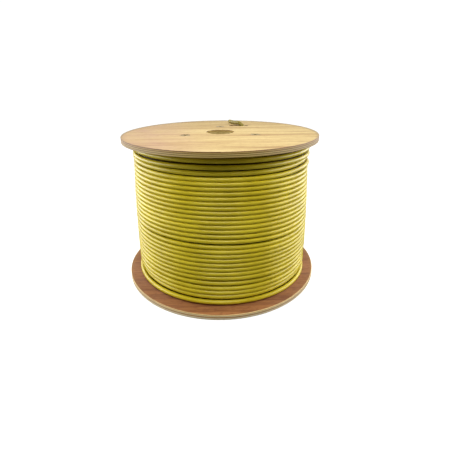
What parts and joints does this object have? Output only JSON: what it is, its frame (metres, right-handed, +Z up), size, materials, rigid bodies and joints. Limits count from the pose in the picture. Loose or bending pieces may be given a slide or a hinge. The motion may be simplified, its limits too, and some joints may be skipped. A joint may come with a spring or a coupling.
{
  "type": "cable reel",
  "caption": "Round plywood cable reel with two flanges, a bore through its axis and a lead slot, standing on its lower flange and wound full of round yellow data cable.",
  "frame": {"origin": "centre of the lower flange's outer face, which the reel stands on", "axes": "+Z up along the reel's axis, from the lower flange to the upper one; +Y towards the lead slot's side"},
  "size_m": [0.35, 0.35, 0.269],
  "materials": {
    "plywood_upper": "bare sanded plywood, honey face grain, plies showing at the rim",
    "plywood_lower": "bare plywood, redder face veneer, plies showing at the rim",
    "barrel_fibreboard": "spirally wound brown fibreboard tube",
    "zinc_steel": "zinc plated, dull",
    "zinc_steel_nut": "zinc plated, dull and slightly stained",
    "cable_jacket": "extruded yellow cable jacket, satin",
    "insulation_blue": "solid colour wire insulation",
    "insulation_orange": "solid colour wire insulation",
    "insulation_green": "solid colour wire insulation",
    "insulation_brown": "solid colour wire insulation",
    "filler_plastic": "natural plastic cross filler"
  },
  "bodies": {
    "root": {"bottom_flange": "plywood_lower", "top_flange": "plywood_upper", "barrel_tube": "barrel_fibreboard", "tie_bolt_1": "zinc_steel", "washer_1": "zinc_steel", "tee_nut_1": "zinc_steel_nut", "tie_bolt_2": "zinc_steel", "washer_2": "zinc_steel", "tee_nut_2": "zinc_steel_nut", "tie_bolt_3": "zinc_steel", "washer_3": "zinc_steel", "tee_nut_3": "zinc_steel_nut", "cable_inner_layers": "cable_jacket", "cable_outer_layer": "cable_jacket", "start_tail": "cable_jacket", "tail_pair_blue": "insulation_blue", "tail_pair_orange": "insulation_orange", "tail_pair_green": "insulation_green", "tail_pair_brown": "insulation_brown", "tail_filler": "filler_plastic"}
  },
  "joints": []
}
